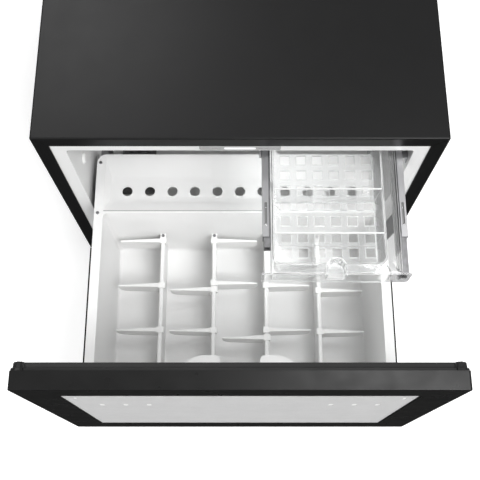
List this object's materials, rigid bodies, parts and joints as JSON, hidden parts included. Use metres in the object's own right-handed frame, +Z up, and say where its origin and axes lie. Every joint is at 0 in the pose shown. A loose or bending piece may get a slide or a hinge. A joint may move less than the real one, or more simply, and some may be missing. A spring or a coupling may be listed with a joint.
{
  "type": "drawer minibar",
  "caption": "Built-in drawer minibar: insulated cabinet with a pull-out bottle drawer, low dividers with sliding separators, a clear tray on ball slides and a rear cooling unit.",
  "frame": {"origin": "middle of the cabinet's base, on the surface that it stands on", "axes": "+X to the right as seen from the front, +Y from the front to the back, +Z up; the drawer opens along -Y"},
  "size_m": [0.57, 0.8485, 0.46],
  "materials": {
    "black_powder_coat": "satin black powder coat",
    "white_plastic": "satin white moulded plastic",
    "separator_plastic": "glossy white moulded plastic",
    "insulating_foam": "rigid foam, hidden",
    "lamp_plastic": "light grey moulded plastic",
    "lamp_lens": "milky lens",
    "black_plastic": "fine textured black plastic",
    "door_panel": "light grey coated sheet",
    "slot_clip": "white plastic clips",
    "rubber": "black door seal",
    "zinc_steel": "zinc plated slide steel",
    "aluminium": "extruded aluminium",
    "ceramic_module": "white ceramic faces",
    "screw_steel": "plated screw heads",
    "clear_plastic": "clear moulded plastic"
  },
  "bodies": {
    "cabinet": {"casing_wrap": "black_powder_coat", "base_pan": "black_powder_coat", "back_panel": "black_powder_coat", "rear_cover": "black_powder_coat", "inner_liner": "white_plastic", "wall_plugs": "white_plastic", "foam_core": "insulating_foam", "lamp_housing": "lamp_plastic", "lamp_lens": "lamp_lens", "air_grille": "black_plastic", "fan_frame": "black_plastic", "control_box": "black_plastic", "power_inlet": "black_plastic", "tray_hanger": "zinc_steel", "tray_wall_bracket": "zinc_steel", "tray_cabinet_rails": "zinc_steel", "left_cabinet_rail": "zinc_steel", "right_cabinet_rail": "zinc_steel", "cold_sink": "aluminium", "spacer_block": "aluminium", "heat_sink": "aluminium", "cooling_module": "ceramic_module", "rear_screws": "screw_steel"},
    "drawer": {"door_frame": "black_plastic", "door_panel": "door_panel", "panel_clips": "slot_clip", "door_inner_panel": "white_plastic", "door_foam": "insulating_foam", "gasket": "rubber", "drawer_insert": "white_plastic", "rim_screws": "screw_steel", "divider_screws": "screw_steel", "divider_1": "white_plastic", "divider_2": "white_plastic", "divider_3": "white_plastic", "divider_4": "white_plastic", "left_side_frame": "black_powder_coat", "right_side_frame": "black_powder_coat", "left_drawer_rail": "zinc_steel", "right_drawer_rail": "zinc_steel"},
    "drawer_mid": {"left_mid_rail": "zinc_steel", "right_mid_rail": "zinc_steel"},
    "tray": {"tray_tub": "clear_plastic", "tray_dividers": "clear_plastic", "tray_rails": "zinc_steel"},
    "tray_mid": {"tray_mid_rails": "zinc_steel"},
    "fan": {"fan_rotor": "black_plastic"},
    "separator_01": {"fin_01": "separator_plastic"},
    "separator_02": {"fin_02": "separator_plastic"},
    "separator_03": {"fin_03": "separator_plastic"},
    "separator_04": {"fin_04": "separator_plastic"},
    "separator_05": {"fin_05": "separator_plastic"},
    "separator_06": {"fin_06": "separator_plastic"},
    "separator_07": {"fin_07": "separator_plastic"},
    "separator_08": {"fin_08": "separator_plastic"},
    "separator_09": {"fin_09": "separator_plastic"},
    "separator_10": {"fin_10": "separator_plastic"},
    "separator_11": {"fin_11": "separator_plastic"},
    "separator_12": {"fin_12": "separator_plastic"}
  },
  "joints": [
    {"name": "drawer_slide", "type": "slide", "parent": "cabinet", "child": "drawer", "axis": [0, -1, 0], "range_m": [-0.2975, 0]},
    {"name": "drawer_mid_slide", "type": "slide", "parent": "cabinet", "child": "drawer_mid", "axis": [0, -1, 0], "range_m": [-0.14875, 0]},
    {"name": "tray_slide", "type": "slide", "parent": "cabinet", "child": "tray", "axis": [0, -1, 0], "range_m": [-0.18, 0]},
    {"name": "tray_mid_slide", "type": "slide", "parent": "cabinet", "child": "tray_mid", "axis": [0, -1, 0], "range_m": [-0.1285, 0]},
    {"name": "fan_spin", "type": "hinge", "parent": "cabinet", "child": "fan", "pos_m": [0, 0.284, 0.33], "axis": [0, 1, 0], "continuous": true},
    {"name": "fin_01_slide", "type": "slide", "parent": "drawer", "child": "separator_01", "axis": [0, -1, 0], "range_m": [-0.00007, 0.0687]},
    {"name": "fin_02_slide", "type": "slide", "parent": "drawer", "child": "separator_02", "axis": [0, -1, 0], "range_m": [-0.0687, 0.0657]},
    {"name": "fin_03_slide", "type": "slide", "parent": "drawer", "child": "separator_03", "axis": [0, -1, 0], "range_m": [-0.0657, 0.07]},
    {"name": "fin_04_slide", "type": "slide", "parent": "drawer", "child": "separator_04", "axis": [0, -1, 0], "range_m": [-0.00007, 0.0647]},
    {"name": "fin_05_slide", "type": "slide", "parent": "drawer", "child": "separator_05", "axis": [0, -1, 0], "range_m": [-0.0647, 0.0007]},
    {"name": "fin_06_slide", "type": "slide", "parent": "drawer", "child": "separator_06", "axis": [0, -1, 0], "range_m": [-0.0007, 0.0597]},
    {"name": "fin_07_slide", "type": "slide", "parent": "drawer", "child": "separator_07", "axis": [0, -1, 0], "range_m": [-0.0597, 0.069]},
    {"name": "fin_08_slide", "type": "slide", "parent": "drawer", "child": "separator_08", "axis": [0, -1, 0], "range_m": [-0.07907, 0.0657]},
    {"name": "fin_09_slide", "type": "slide", "parent": "drawer", "child": "separator_09", "axis": [0, -1, 0], "range_m": [-0.0657, 0.0027]},
    {"name": "fin_10_slide", "type": "slide", "parent": "drawer", "child": "separator_10", "axis": [0, -1, 0], "range_m": [-0.0027, 0.057]},
    {"name": "fin_11_slide", "type": "slide", "parent": "drawer", "child": "separator_11", "axis": [0, -1, 0], "range_m": [-0.08807, 0.0597]},
    {"name": "fin_12_slide", "type": "slide", "parent": "drawer", "child": "separator_12", "axis": [0, -1, 0], "range_m": [-0.0597, 0.067]}
  ],
  "couplings": [
    {"joint": "drawer_mid_slide", "follows": "drawer_slide", "ratio": 0.5},
    {"joint": "tray_slide", "follows": "drawer_slide", "ratio": 0.60504},
    {"joint": "tray_mid_slide", "follows": "drawer_slide", "ratio": 0.4319}
  ]
}
